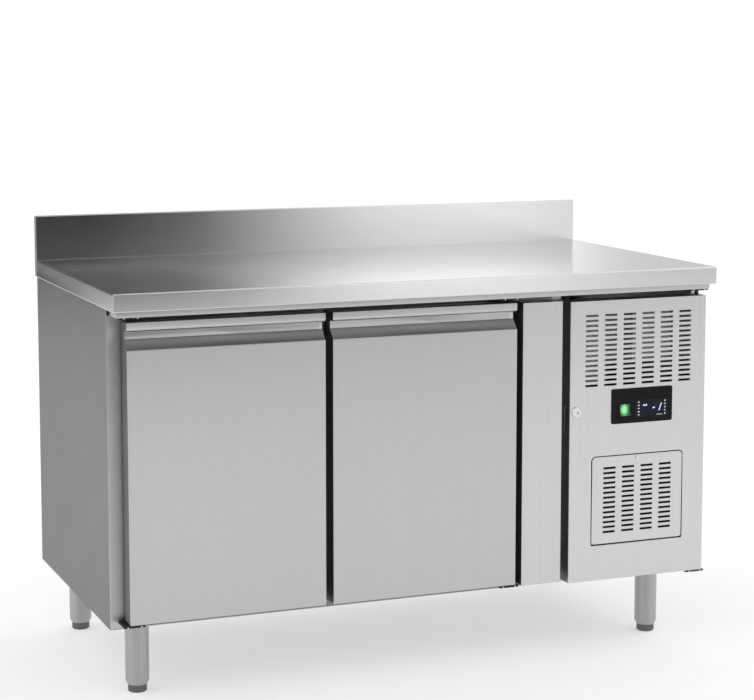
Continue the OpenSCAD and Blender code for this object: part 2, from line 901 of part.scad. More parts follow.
module evaporating_pan() {
    wall = 2;
    x0 = partition_x + 8;
    x1 = side_x - 30;
    z0 = leg_h + floor_fold;
    z1 = leg_h + 40;
    color(black)
        difference() {
            slab([x0, pan_y, z0], [x1, pan_y + pan_d, z1]);
            slab([x0 + wall, pan_y + wall, z0 + wall], [x1 - wall, pan_y + pan_d - wall, z1 + 1]);
        }
}

// The control box on the partition, and a relay box that a rail carries out from it
module control_box() {
    box_y = frame_y + 8;
    box_w = 118;
    box_d = 90;
    box_z0 = 596;
    box_z1 = 770;
    relay_x = partition_x + 182;
    relay_w = 96;
    relay_z0 = 640;
    rail_h = 30;
    rail_t = 2;
    color(fin_metal) {
        slab([partition_x + 0.5, box_y, box_z0], [partition_x + box_w, box_y + box_d, box_z1]);
        slab([relay_x, box_y, relay_z0], [relay_x + relay_w, box_y + box_d / 2, box_z1]);
        slab([partition_x + box_w - 1, box_y + box_d / 2 - rail_t, box_z1 - rail_h],
             [relay_x + 1, box_y + box_d / 2, box_z1]);
    }
}

module cable_inlet() {
    nut_r = 12;
    nut_t = 4;
    way_r = 4.6;
    color(black)
        translate([inlet_x, foam_y1, inlet_z])
            rotate([-90, 0, 0])
                difference() {
                    union() {
                        translate([0, 0, -10])
                            cylinder(r = inlet_thread_r, h = 15);
                        for (z = [-nut_t, 1])
                            translate([0, 0, z])
                                cylinder(r = nut_r, h = nut_t, $fn = 6);
                    }
                    translate([0, 0, -11])
                        cylinder(r = way_r, h = 17);
                }
}

// ---- legs ----

// Half section of a leg tube: a straight wall that tapers in over its last stretch
module leg_section() {
    taper = 8;
    tube_wall = 1.5;
    top = leg_h - 3;
    polygon([[leg_r - 4, foot_h], [leg_r, foot_h + taper], [leg_r, top],
             [leg_r - tube_wall, top], [leg_r - tube_wall, foot_h + taper + 12],
             [stem_r + pin_clearance, foot_h + taper + 12], [stem_r + pin_clearance, foot_h + taper],
             [leg_r - tube_wall, foot_h + taper], [leg_r - tube_wall - 4, foot_h]]);
}

module leg_tubes() {
    plate = 50;
    color(steel)
        for (x = [-leg_x, leg_x], y = [leg_front_y, leg_back_y]) {
            translate([x, y, 0])
                rotate_extrude()
                    leg_section();
            slab([x - plate, y - min(plate, foam_y1 - y), leg_h - 3],
                 [x + plate, y + min(plate, foam_y1 - y), leg_h]);
        }
}

// A foot: a chamfered pad, a collar that closes the tube, and its stem up the tube
module foot(x, y) {
    chamfer = 2;
    stem_top = foot_h + 84;
    color(dull_steel)
        translate([x, y, 0])
            rotate_extrude()
                polygon([[0, 0], [foot_r - chamfer, 0], [foot_r, chamfer], [foot_r, foot_h - 0.5],
                         [stem_r, foot_h - 0.5], [stem_r, stem_top], [0, stem_top]]);
}

module foot_front_left() { foot(-leg_x, leg_front_y); }
module foot_front_right() { foot(leg_x, leg_front_y); }
module foot_back_left() { foot(-leg_x, leg_back_y); }
module foot_back_right() { foot(leg_x, leg_back_y); }

// ---- doors ----

// Side outline of a door: a lip at the top, a recess for the fingers under it, then a slope
// that brings the face forward again. inset moves the outline in by the sheet's thickness.
function door_outline(inset) =
    let (
        face = door_y + inset,
        back = door_back - inset,
        recess_y = door_y + grip_depth + inset,
        lip_z = door_z1 - lip_h,
        ceiling_z = lip_z - lip_curl,
        flat_z = ceiling_z - recess_flat,
        slope_z = flat_z - recess_slope
    )
    concat(
        [[face, door_z0 + inset], [face, slope_z - 0.4 * inset],
         [recess_y, flat_z - 0.4 * inset], [recess_y, ceiling_z + inset]],
        [for (a = [0 : 15 : 90])
            [door_y + lip_curl - (lip_curl - inset) * sin(a), lip_z - (lip_curl - inset) * cos(a)]],
        [[face, door_z1 - inset], [back, door_z1 - inset], [back, door_z0 + inset]]
    );

// A door's outline carried across its width
module door_block(x0, x1, inset) {
    translate([x0 + inset, 0, 0])
        rotate([90, 0, 90])
            linear_extrude(height = x1 - x0 - 2 * inset)
                polygon(door_outline(inset));
}

// Holes for the pivot bushes, from above and from below
module bush_holes(x, r, length) {
    bar_z([x, hinge_y, door_z1 - length], length + 1, r);
    bar_z([x, hinge_y, door_z0 - 1], length + 1, r);
}

module door_skin(x0, x1, x_hinge) {
    edge = 12;
    color(steel)
        difference() {
            door_block(x0, x1, 0);
            door_block(x0, x1, sheet_t);
            slab([x0 + edge, door_back - 2 * sheet_t, door_z0 + edge],
                 [x1 - edge, door_back + 1, door_z1 - edge]);
            bush_holes(x_hinge, bush_r + 0.05, bush_l);
        }
}

module door_core(x0, x1, x_hinge) {
    color(foam)
        difference() {
            door_block(x0, x1, sheet_t);
            bush_holes(x_hinge, bush_r + 0.05, bush_l);
        }
}

module door_liner(x0, x1) {
    margin = 3;
    color(dull_steel)
        slab([x0 + margin, door_back, door_z0 + margin],
             [x1 - margin, door_back + sheet_t, door_z1 - margin]);
}

// The seal: a soft rectangular ring that closes on the face frame
module door_gasket(x0, x1, left_in, right_in) {
    y0 = door_back + sheet_t;
    y1 = frame_y - 0.5;
    z0 = door_z0 + seal_bottom_in;
    z1 = door_z1 - seal_top_in;
    color(black)
        difference() {
            slab([x0 + left_in, y0, z0], [x1 - right_in, y1, z1]);
            slab([x0 + left_in + seal_w, y0 - 1, z0 + seal_w],
                 [x1 - right_in - seal_w, y1 + 1, z1 - seal_w]);
        }
}

// Two flanged bushes, one in the door's top and one in its bottom
module door_bushes(x) {
    color(black)
        difference() {
            union() {
                bar_z([x, hinge_y, door_z1 - bush_l], bush_l, bush_r);
                bar_z([x, hinge_y, door_z1], bush_flange, bush_r + 2);
                bar_z([x, hinge_y, door_z0], bush_l, bush_r);
                bar_z([x, hinge_y, door_z0 - bush_flange], bush_flange, bush_r + 2);
            }
            bar_z([x, hinge_y, door_z0 - 5], door_z1 - door_z0 + 10, bore_r);
        }
}

module door_left_skin() { door_skin(left_door_x0, left_door_x1, left_hinge_x); }
module door_left_core() { door_core(left_door_x0, left_door_x1, left_hinge_x); }
module door_left_liner() { door_liner(left_door_x0, left_door_x1); }
module door_left_gasket() { door_gasket(left_door_x0, left_door_x1, seal_hinge_in, seal_free_in); }
module door_left_bushes() { door_bushes(left_hinge_x); }
module door_right_skin() { door_skin(right_door_x0, right_door_x1, right_hinge_x); }
module door_right_core() { door_core(right_door_x0, right_door_x1, right_hinge_x); }
module door_right_liner() { door_liner(right_door_x0, right_door_x1); }
module door_right_gasket() { door_gasket(right_door_x0, right_door_x1, seal_free_in, seal_hinge_in); }
module door_right_bushes() { door_bushes(right_hinge_x); }

// ---- machine panel ----

// A folded pan with the grille, the cut-outs and a bored block at each end of its hinge
module machine_panel() {
    boss_r = 9;
    boss_l = 14;
    grille_x = panel_x0 + (machine_w - (grille_cols - 1) * slot_pitch_x - slot_w) / 2;
    lug_w = 5;
    window_z = cover_z - cover_groove - 1;
    window_w = cover_w + 2 * cover_groove;
    window_h = cover_h + 2 * cover_groove + 1;
    color(steel)
        difference() {
            union() {
                difference() {
                    slab([panel_x0, door_y, panel_z0], [panel_x1, door_y + panel_t, panel_z1]);
                    slab([panel_x0 + sheet_t, door_y + sheet_t, panel_z0 + sheet_t],
                         [panel_x1 - sheet_t, door_y + panel_t - sheet_t, panel_z1 - sheet_t]);
                    slab([panel_x0 + panel_return, door_y + panel_t - 2, panel_z0 + panel_return],
                         [panel_x1 - panel_return, door_y + panel_t + 1, panel_z1 - panel_return]);
                    round_plate(cover_x - cover_groove, door_y - 1, window_z, window_w, 4,
                                window_h, cover_r + cover_groove);
                    round_plate(cover_x - cover_groove, door_y - 1, window_z, window_w, 4,
                                window_h / 2, window_low_r);
                }
                bar_z([panel_hinge_x, hinge_y, panel_z0], boss_l, boss_r);
                bar_z([panel_hinge_x, hinge_y, panel_z1 - boss_l], boss_l, boss_r);
                for (x = [cover_x - cover_groove - lug_w - 0.5, cover_x + cover_w + cover_groove + 0.5])
                    slab([x, door_y + sheet_t / 2, cover_pin_z - lug_w],
                         [x + lug_w, door_y + 8, cover_pin_z + lug_w]);
            }
            slots(grille_x, grille_z, grille_cols, grille_rows, door_y, sheet_t);
            slab([plate_x + 5, door_y - 1, plate_z + 5],
                 [plate_x + plate_w - 5, door_y + 2, plate_z + plate_h - 5]);
            bar_y([lock_x, door_y - 1, lock_z], 4, barrel_r + 0.1);
            tongue_slot(panel_x0 - 3, tongue_l - 1);
            bar_z([panel_hinge_x, hinge_y, panel_z0 - 1], boss_l + 2, panel_pin_r + pin_clearance);
            bar_z([panel_hinge_x, hinge_y, panel_z1 - boss_l - 1], boss_l + 2,
                  panel_pin_r + pin_clearance);
            bar_x([cover_x - 20, cover_pin_y, cover_pin_z], cover_w + 40,
                  cover_pin_r + pin_clearance);
        }
}

// The black plate that the switch and the thermostat sit in, with the switch's raised rim
module control_plate() {
    rim = 5;
    rim_r = 3;
    plate_r = 4;
    case_in = 6;
    case_y = door_y + 12;
    fit = 0.2;
    color(black)
        difference() {
            union() {
                round_plate(plate_x, plate_y, plate_z, plate_w, plate_proud, plate_h, plate_r);
                slab([plate_x + case_in, plate_y + 1, plate_z + case_in],
                     [plate_x + plate_w - case_in, case_y, plate_z + plate_h - case_in]);
                round_plate(rocker_x - rocker_w / 2 - rim, plate_y - 1, rocker_z - rocker_h / 2 - rim,
                            rocker_w + 2 * rim, 2, rocker_h + 2 * rim, rim_r);
            }
            slab([rocker_x - rocker_w / 2, plate_y - 2, rocker_z - rocker_h / 2],
                 [rocker_x + rocker_w / 2, case_y + 1, rocker_z + rocker_h / 2]);
            slab([display_x - fit, plate_y - 2, display_z - fit],
                 [display_x + display_w + fit, case_y + 1, display_z + display_h + fit]);
            bar_x([rocker_x - rocker_w / 2 - 3, rocker_pivot_y, rocker_z], rocker_w + 6,
                  rocker_pin_r + pin_clearance);
        }
}

// The thermostat: a window flush with the plate and its case behind
module thermostat() {
    case_in = 5;
    case_d = 50;
    window_proud = 0.6;
    color(black) {
        slab([display_x, plate_y - window_proud, display_z],
             [display_x + display_w, door_y + 4, display_z + display_h]);
        slab([display_x + case_in, door_y + 3, display_z + case_in],
             [display_x + display_w - case_in, door_y + case_d, display_z + display_h - case_in]);
    }
}

// The lit rocker: two faces that meet at a shallow angle, on stub pins
module rocker_switch() {
    play = 0.4;
    tilt = 6;
    face = rocker_pivot_y - plate_y;
    wide = rocker_w / 2 - play;
    high = rocker_h / 2 - 1.2;
    stub = 1.8;
    color(green)
        translate([rocker_x, rocker_pivot_y, rocker_z]) {
            translate([-wide, 0, 0])
                rotate([90, 0, 90])
                    linear_extrude(height = 2 * wide)
                        polygon([[-face, 0], [-face - 2 - high * tan(tilt), 0.8 - high],
                                 [2, 3 - high], [4, 0], [2, high - 3], [-face - 1.2, high]]);
            bar_x([-wide - stub, 0, 0], 2 * (wide + stub), rocker_pin_r);
        }
}

// A round lock: a domed face with a key recess, its barrel, and the tongue behind the panel
module panel_lock() {
    head_h = 2.5;
    barrel_l = 19.5;
    spindle_r = 5;
    tongue_w = 14;
    key_r = 4.5;
    tongue_in = tongue_y - door_y;
    color(steel)
        translate([lock_x, door_y, lock_z])
            difference() {
                union() {
                    rotate([90, 0, 0])
                        cylinder(r1 = lock_r, r2 = lock_r - 1.5, h = head_h);
                    bar_y([0, -0.5, 0], barrel_l + 0.5, barrel_r);
                    bar_y([0, barrel_l - 0.5, 0], tongue_in - barrel_l + tongue_t + 3.5, spindle_r);
                    slab([-tongue_w / 2, tongue_in, -tongue_l],
                         [tongue_w / 2, tongue_in + tongue_t, tongue_w / 2]);
                }
                bar_y([0, -head_h - 0.5, 0], 3, key_r);
            }
}

module filter_cover() {
    rim = 8;
    ear_w = 12;
    slots_x = cover_x + (cover_w - (cover_cols - 1) * slot_pitch_x - slot_w) / 2;
    slots_z = cover_z + cover_h - 25.5;
    x0 = cover_x + cover_r;
    x1 = cover_x + cover_w - cover_r;
    z0 = cover_z + cover_r;
    z1 = cover_z + cover_h - cover_head;
    color(steel)
        difference() {
            union() {
                round_plate(cover_x, door_y, cover_z, cover_w, sheet_t, cover_h, cover_r);
                difference() {
                    slab([x0, door_y, z0], [x1, door_y + rim, z1]);
                    slab([x0 + sheet_t, door_y + sheet_t, z0 + sheet_t],
                         [x1 - sheet_t, door_y + rim + 1, z1 - sheet_t]);
                }
                for (side = [0, 1])
                    cover_ear(cover_x + side * (cover_w - ear_w), side, ear_w);
            }
            slots(slots_x, slots_z, cover_cols, cover_rows, door_y, sheet_t);
            bar_y([screw_x, door_y - 1, screw_z], 4, screw_r + 0.1);
        }
}

// The bent ear with its stub pin that a lower corner of the filter cover turns on
module cover_ear(x, side, ear_w) {
    corner_gap = 0.3;
    joined_w = ear_w - cover_r;
    joined_x = side == 0 ? x + cover_r : x;
    top = [0, cover_pin_y + 1.6, cover_pin_z + 1.8];
    slab([x, door_y + sheet_t + corner_gap, cover_z + 0.4], top + [x + ear_w, 0, 0]);
    slab([joined_x, door_y, cover_z + 0.4], top + [joined_x + joined_w, 0, 0]);
    bar_x([side == 0 ? x - cover_groove - 3.5 : x + 6, cover_pin_y, cover_pin_z],
          cover_groove + 9.5, cover_pin_r);
}

// The quarter-turn screw at the top of the filter cover, with its catch behind
module filter_screw() {
    head_r = 4.5;
    head_h = 1.5;
    catch_l = 12;
    catch_y = 2;
    slot_l = 3.5;
    color(steel)
        translate([screw_x, door_y, screw_z])
            difference() {
                union() {
                    bar_y([0, -head_h, 0], head_h, head_r);
                    bar_y([0, -0.5, 0], catch_y + 2, screw_r);
                    slab([-catch_l, catch_y, -screw_r], [catch_l, catch_y + 1.5, screw_r]);
                }
                slab([-slot_l, -head_h - 0.5, -0.6], [slot_l, -head_h + 0.8, 0.6]);
            }
}

module filter_mesh() {
    color(mesh_grey)
        slab([cover_x + cover_r + 2, door_y + sheet_t, cover_z + cover_r + 2],
             [cover_x + cover_w - cover_r - 2, door_y + 7, cover_z + cover_h - cover_head - 2]);
}

// ---- fans ----

module condenser_fan() {
    depth = 22;
    color(dull_steel)
        translate([machine_mid_x, shroud_y + shroud_d + motor_gap - 6, condenser_fan_z])
            rotate([90, 0, 0])
                fan_rotor(fan_r, 5, depth);
}

module evaporator_fan() {
    depth = 16;
    color(black)
        translate([evaporator_x0 + 22, evaporator_fan_y, evaporator_fan_z])
            rotate([0, -90, 0])
                fan_rotor(evaporator_fan_r, 5, depth);
}

worktop_skin();
worktop_core();
upstand();
top_tray();
side_panel_left();
side_panel_right();
back_panel();
base_panel();
frame_rails();
frame_posts();
insulation();
liner_sides();
liner_decks();
liner_back();
partition_panel();
filler_panel();
evaporator_cover();
evaporator_coil();
fan_motors();
drip_tray();
shelf_uprights();
shelf_guides();
shelf_left();
shelf_right();
hinge_brackets();
machine_floor();
compressor();
compressor_mounts();
condenser_coil();
fan_shroud();
filter_drier();
refrigerant_pipes();
evaporating_pan();
control_box();
cable_inlet();
leg_tubes();
door_left_skin();
door_left_core();
door_left_liner();
door_left_gasket();
door_left_bushes();
door_right_skin();
door_right_core();
door_right_liner();
door_right_gasket();
door_right_bushes();
machine_panel();
control_plate();
thermostat();
rocker_switch();
panel_lock();
filter_cover();
filter_screw();
filter_mesh();
condenser_fan();
evaporator_fan();
foot_front_left();
foot_front_right();
foot_back_left();
foot_back_right();
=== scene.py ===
import json
import math

import bmesh
import bpy
from mathutils import Matrix, Vector

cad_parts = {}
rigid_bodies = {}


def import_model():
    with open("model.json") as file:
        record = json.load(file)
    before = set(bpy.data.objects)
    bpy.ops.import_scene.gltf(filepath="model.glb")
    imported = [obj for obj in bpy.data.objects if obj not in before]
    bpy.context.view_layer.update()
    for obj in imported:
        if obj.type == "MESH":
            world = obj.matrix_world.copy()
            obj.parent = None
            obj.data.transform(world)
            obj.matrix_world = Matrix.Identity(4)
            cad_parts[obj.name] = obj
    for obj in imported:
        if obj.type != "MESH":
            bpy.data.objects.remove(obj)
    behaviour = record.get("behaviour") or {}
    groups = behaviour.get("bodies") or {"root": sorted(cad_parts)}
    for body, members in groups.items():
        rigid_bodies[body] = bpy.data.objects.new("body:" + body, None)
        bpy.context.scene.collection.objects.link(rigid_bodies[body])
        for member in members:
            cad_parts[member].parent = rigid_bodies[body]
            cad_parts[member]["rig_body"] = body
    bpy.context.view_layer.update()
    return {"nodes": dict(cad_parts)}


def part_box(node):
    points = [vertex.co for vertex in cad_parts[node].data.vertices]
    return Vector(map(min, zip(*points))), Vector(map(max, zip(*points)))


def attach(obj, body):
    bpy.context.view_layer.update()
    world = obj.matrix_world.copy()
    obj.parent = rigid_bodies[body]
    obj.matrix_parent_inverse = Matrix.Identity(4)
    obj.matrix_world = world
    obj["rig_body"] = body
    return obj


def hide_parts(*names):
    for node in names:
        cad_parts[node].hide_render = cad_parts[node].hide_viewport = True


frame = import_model()
scene = bpy.context.scene

# The studio: a white floor that runs back out of sight, a broad light overhead and one wide soft
# light at the front right, with the dark room beside it, so that steel shades from left to right.
CAMERA_PLACE = Vector((-1.6682, -4.2014, 1.3315))
CAMERA_TURN = math.radians(21.835)
CAMERA_DIP = math.radians(6.4)
CAMERA_LENS = 97.25
CAMERA_SHIFT = -0.1
FLOOR_SIZE = 12.0
FLOOR_TONE = 0.6
FLOOR_GLOW = 0.45
OVERHEAD = 1.6
ZENITH = 0.3
SOFTBOX = 1.5
ROOM_DARK = 0.01
ROOM_RIGHT = 0.75
ROOM_SIDES = 0.9
ROOM_BACK_LEFT = 0.14
BOX_STARTS = (0.28, 0.4)
BOX_ENDS = (0.44, 0.52)
SIDES_START = (0.75, 1.3)
BACK_STARTS = (-0.2, 0.2)
BACK_LEFT_ENDS = (-0.15, 0.1)
OVERHEAD_STARTS = (0.35, 0.65)
ZENITH_STARTS = (0.8, 0.93)


class Value:
    """A socket in a node tree. Sums written on it add Math nodes, and node() adds any other."""

    def __init__(self, tree, socket=None):
        self.tree = tree
        self.socket = socket

    def node(self, kind, settings=None, sockets=None, output=0):
        made = self.tree.nodes.new(kind)
        for name, setting in (settings or {}).items():
            setattr(made, name, setting)
        for name, value in (sockets or {}).items():
            if isinstance(value, Value):
                self.tree.links.new(value.socket, made.inputs[name])
            else:
                made.inputs[name].default_value = value
        return Value(self.tree, made.outputs[output]) if made.outputs else None

    def math(self, operation, *values):
        return self.node("ShaderNodeMath", {"operation": operation}, dict(enumerate(values)))

    def __add__(self, other):
        return self.math("ADD", self, other)

    def __sub__(self, other):
        return self.math("SUBTRACT", self, other)

    def __rsub__(self, other):
        return self.math("SUBTRACT", other, self)

    def __mul__(self, other):
        return self.math("MULTIPLY", self, other)

    __radd__ = __add__

    def eased(self, low, high, start=0.0, end=1.0):
        """start below low and end above high, with a smooth change between."""
        return self.node("ShaderNodeMapRange", {"interpolation_type": "SMOOTHSTEP"}, {
            "Value": self, "From Min": low, "From Max": high, "To Min": start, "To Max": end})

    def part(self, axis):
        """One component of a vector, 0 for X, 1 for Y and 2 for Z."""
        return self.node("ShaderNodeSeparateXYZ", sockets={0: self}, output=axis)


def light_room():
    world = bpy.data.worlds.new("studio")
    scene.world = world
    world.use_nodes = True
    world.node_tree.nodes.clear()
    start = Value(world.node_tree)
    way = start.node("ShaderNodeTexCoord", output="Generated")
    to_right = start.math("ARCTAN2", way.part(0), start.math("ABSOLUTE", way.part(1)))
    softbox = to_right.eased(*BOX_STARTS, ROOM_DARK, SOFTBOX)
    softbox = softbox - to_right.eased(*BOX_ENDS, 0.0, SOFTBOX - ROOM_RIGHT)
    left = to_right.eased(*BACK_LEFT_ENDS, ROOM_BACK_LEFT, 0.0)
    back_left = way.part(1).eased(*BACK_STARTS) * left
    aside = start.math("ABSOLUTE", to_right).eased(*SIDES_START)
    low = (softbox + back_left) * (1 - aside) + aside * ROOM_SIDES
    overhead = way.part(2).eased(*OVERHEAD_STARTS)
    above = way.part(2).eased(*ZENITH_STARTS, OVERHEAD, ZENITH)
    glow = low * (1 - overhead) + overhead * above
    seen = start.node("ShaderNodeLightPath", output="Is Camera Ray")
    glow = glow * (1 - seen) + seen
    light = start.node("ShaderNodeBackground", sockets={"Color": (1, 1, 1, 1), "Strength": glow})
    start.node("ShaderNodeOutputWorld", sockets={"Surface": light})


def lay_floor():
    mesh = bmesh.new()
    bmesh.ops.create_grid(mesh, x_segments=1, y_segments=1, size=FLOOR_SIZE / 2)
    data = bpy.data.meshes.new("floor")
    mesh.to_mesh(data)
    mesh.free()
    floor = bpy.data.objects.new("floor", data)
    scene.collection.objects.link(floor)
    paper = bpy.data.materials.new("white_floor")
    paper.use_nodes = True
    shader = paper.node_tree.nodes["Principled BSDF"]
    shader.inputs["Base Color"].default_value = (FLOOR_TONE, FLOOR_TONE, FLOOR_TONE, 1)
    shader.inputs["Roughness"].default_value = 0.9
    shader.inputs["Specular IOR Level"].default_value = 0.1
    shader.inputs["Emission Color"].default_value = (1, 1, 1, 1)
    shader.inputs["Emission Strength"].default_value = FLOOR_GLOW
    data.materials.append(paper)


def place_camera():
    camera = bpy.data.objects.new("camera", bpy.data.cameras.new("camera"))
    scene.collection.objects.link(camera)
    ahead = Vector((math.sin(CAMERA_TURN) * math.cos(CAMERA_DIP),
                    math.cos(CAMERA_TURN) * math.cos(CAMERA_DIP), -math.sin(CAMERA_DIP)))
    camera.location = CAMERA_PLACE
    camera.rotation_euler = ahead.to_track_quat("-Z", "Y").to_euler()
    camera.data.lens = CAMERA_LENS
    camera.data.shift_y = CAMERA_SHIFT
    scene.camera = camera


light_room()
lay_floor()
place_camera()
scene.view_settings.view_transform = "Standard"

# The worktop is one sheet of brushed stainless steel, folded down at its four edges and turned in
# below, with its corners welded and ground. The upstand is a closed box section along the back.
TOP_BEND = 0.0028
TOP_SHEET = 0.0012
TOP_TURN_IN = 0.02
UPSTAND_BEND = 0.0018
SMOOTH_BELOW = math.radians(32)
# The next tone sets how dark painted shade takes a steel's colour, as a share of its tone.
PAINTED_SHADE_TONE = 0.3


def frozen(piece):
    """Replaces a piece's mesh by what its modifiers make of it."""
    bpy.context.view_layer.update()
    view = piece.evaluated_get(bpy.context.evaluated_depsgraph_get())
    piece.data = bpy.data.meshes.new_from_object(view)
    piece.modifiers.clear()


def settled(piece, body, slot, material, *nodes):
    """Freezes a piece's modifiers, smooths its bends but not its flats, and hands it to its body."""
    scene.collection.objects.link(piece)
    frozen(piece)
    piece.data.shade_smooth()
    piece.data.set_sharp_from_angle(angle=SMOOTH_BELOW)
    flats = piece.modifiers.new("flats", "WEIGHTED_NORMAL")
    flats.keep_sharp = True
    frozen(piece)
    piece.data.name = piece.name
    piece.data.materials.clear()
    piece.data.materials.append(material)
    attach(piece, body)
    if nodes:
        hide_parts(*nodes)
    return piece


def object_from(name, mesh):
    """A new object from a bmesh, with its faces turned outward."""
    bmesh.ops.recalc_face_normals(mesh, faces=mesh.faces)
    data = bpy.data.meshes.new(name)
    mesh.to_mesh(data)
    mesh.free()
    return bpy.data.objects.new(name, data)


def block_mesh(low, high):
    """A bmesh box between two corners."""
    mesh = bmesh.new()
    bmesh.ops.create_cube(mesh, size=1.0)
    for point in mesh.verts:
        for axis in range(3):
            point.co[axis] = high[axis] if point.co[axis] > 0 else low[axis]
    return mesh


def pan(name, low, high, open_way, bend, sheet, turn_in):
    """A folded pan: a box of sheet with round bends, open on one side inside a turned-in edge."""
    mesh = block_mesh(low, high)
    opening = max(mesh.faces, key=lambda face: face.normal.dot(open_way))
    bmesh.ops.inset_individual(mesh, faces=[opening], thickness=turn_in)
    bmesh.ops.delete(mesh, geom=[opening], context="FACES_ONLY")
    bends = [edge for edge in mesh.edges
             if len(edge.link_faces) == 2 and edge.calc_face_angle() > 1]
    bmesh.ops.bevel(mesh, geom=bends, offset=bend, segments=4, profile=0.5, affect="EDGES")
    piece = object_from(name, mesh)
    wall = piece.modifiers.new("sheet", "SOLIDIFY")
    wall.thickness = sheet
    wall.offset = -1
    wall.use_even_offset = True
    return piece


def rounded_block(name, low, high, bend, segments=3):
    """A closed block with all its edges rounded."""
    mesh = block_mesh(low, high)
    bmesh.ops.bevel(mesh, geom=mesh.edges[:], offset=bend, segments=segments, profile=0.5,
                    affect="EDGES")
    return object_from(name, mesh)


def material(name, uniform, varying=None):
    """A Principled material: uniform values go on its sockets, and varying ones are linked."""
    made = bpy.data.materials.new(name)
    made.use_nodes = True
    shader = made.node_tree.nodes["Principled BSDF"]
    for socket, value in uniform.items():
        shader.inputs[socket].default_value = value
    if varying:
        for socket, value in varying(Value(made.node_tree)).items():
            made.node_tree.links.new(value.socket, shader.inputs[socket])
    return made


def grey(tone, warm=0.0):
    return (tone * (1 + warm), tone, tone * (1 - warm), 1)


def noise(start, stretch, detail=2.0, rough=0.5):
    """Noise from 0 to 1 in the object's own place, with stretch waves to a metre along each axis."""
    place = start.node("ShaderNodeTexCoord", output="Object")
    waves = start.node("ShaderNodeMapping", sockets={"Vector": place, "Scale": stretch})
    return start.node("ShaderNodeTexNoise", sockets={
        "Vector": waves, "Scale": 1.0, "Detail": detail, "Roughness": rough})


def blended(start, mask, low, high):
    """A colour between low and high by a mask from 0 to 1."""
    return start.node("ShaderNodeMix", {"data_type": "RGBA"}, {0: mask, 6: low, 7: high}, 2)


def brushed_steel(name, tone, rough, grain, across=0.75, edge=1.0, depth=0.15, painted_shade=None):
    """Stainless steel with fine scratches along the grain (0, 1 or 2) and faint wiping smears.
    across is how much further it spreads light across the grain, and edge its glancing tone.
    The last argument, when given, returns a mask of where shade is painted into the colour, which is taken
    darker there, as a look only."""
    fine = [1400.0] * 3
    fine[grain] = 6.0
    band = [160.0] * 3
    band[grain] = 1.2

    def surface(start):
        scratch = noise(start, fine, 3.0, 0.7)
        streak = noise(start, band, 2.0, 0.6)
        smear = noise(start, (5.0, 5.0, 5.0), 3.0, 0.6)
        line = scratch * 0.55 + streak * 0.45
        colour = blended(start, line.eased(0.3, 0.7), grey(tone * 0.98), grey(tone * 1.02))
        # Painted shade: where the mask is set, the colour is taken darker.
        if painted_shade:
            colour = blended(start, painted_shade(start), colour, grey(tone * PAINTED_SHADE_TONE))
        dull = rough - 0.05 + scratch * 0.06 + smear * 0.05
        relief = start.node("ShaderNodeBump", sockets={
            "Strength": depth, "Distance": 0.00004, "Height": line}, output="Normal")
        return {"Base Color": colour, "Roughness": dull, "Normal": relief}

    return material(name, {"Metallic": 1.0, "Anisotropic": across, "Specular Tint": grey(edge),
                           "Anisotropic Rotation": 0.0 if grain == 2 else 0.25}, surface)


def grained_along_x(piece):
    """Sets the sheet's texture space to a fixed place and size."""
    piece.data.use_auto_texspace = False
    piece.data.texspace_location = (0, 100, 0)
    piece.data.texspace_size = (1, 1, 1)


top_steel = brushed_steel("worktop_steel", 0.62, 0.17, 0, 0.8, depth=0.05)
low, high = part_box("worktop_skin")
worktop = pan("worktop_sheet", low, high, Vector((0, 0, -1)), TOP_BEND, TOP_SHEET, TOP_TURN_IN)
settled(worktop, "cabinet", "brushed_steel", top_steel, "worktop_skin")
grained_along_x(worktop)

low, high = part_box("upstand")
upstand = rounded_block("upstand_box", low, high, UPSTAND_BEND, 4)
settled(upstand, "cabinet", "brushed_steel", top_steel, "upstand")

# Two small plugs of dark plastic close the holes in the worktop's left fold. They are pushed in
# from outside, and their flat heads stand just proud of the steel.
PLUG_R = 0.0045
PLUG_Y = (-0.222, -0.192)
PLUG_UP = 0.019


def turned(name, outline, start, way, sides=40, hexed=()):
    """A turned solid: outline is (radius, distance along way) from pole to pole. The rings that
    hexed lists by number are hexagons, as in a socket screw."""
    aim = way.to_track_quat("Z", "Y").to_matrix()
    mesh = bmesh.new()
    rings = []
    for count, (radius, along) in enumerate(outline):
        ring = []
        for step in range(sides if radius > 0 else 1):
            angle = math.tau * step / sides
            reach = radius
            if count in hexed:
                reach = radius * math.cos(math.pi / 6) / math.cos(angle % (math.pi / 3) - math.pi / 6)
            point = Vector((reach * math.cos(angle), reach * math.sin(angle), along))
            ring.append(mesh.verts.new(start + aim @ point))
        rings.append(ring)
    for near, far in zip(rings, rings[1:]):
        for step in range(sides):
            corners = [near[step % len(near)], near[(step + 1) % sides % len(near)],
                       far[(step + 1) % sides % len(far)], far[step % len(far)]]
            kept = list(dict.fromkeys(corners))
            if len(kept) > 2:
                mesh.faces.new(kept)
    return object_from(name, mesh)


def pan_head_screw(name, place, way, radius, body, material):
    """A domed screw head with a hexagon socket, seated on a face."""
    rise = radius * 0.62
    outline = [(0, -0.0004), (radius, -0.0004), (radius, rise * 0.35), (radius * 0.92, rise * 0.7),
               (radius * 0.7, rise * 0.95), (radius * 0.5, rise), (radius * 0.46, rise * 0.3),
               (0, rise * 0.3)]
    head = turned(name, outline, place, way, 24, (5, 6))
    return settled(head, body, "bright_steel", material)


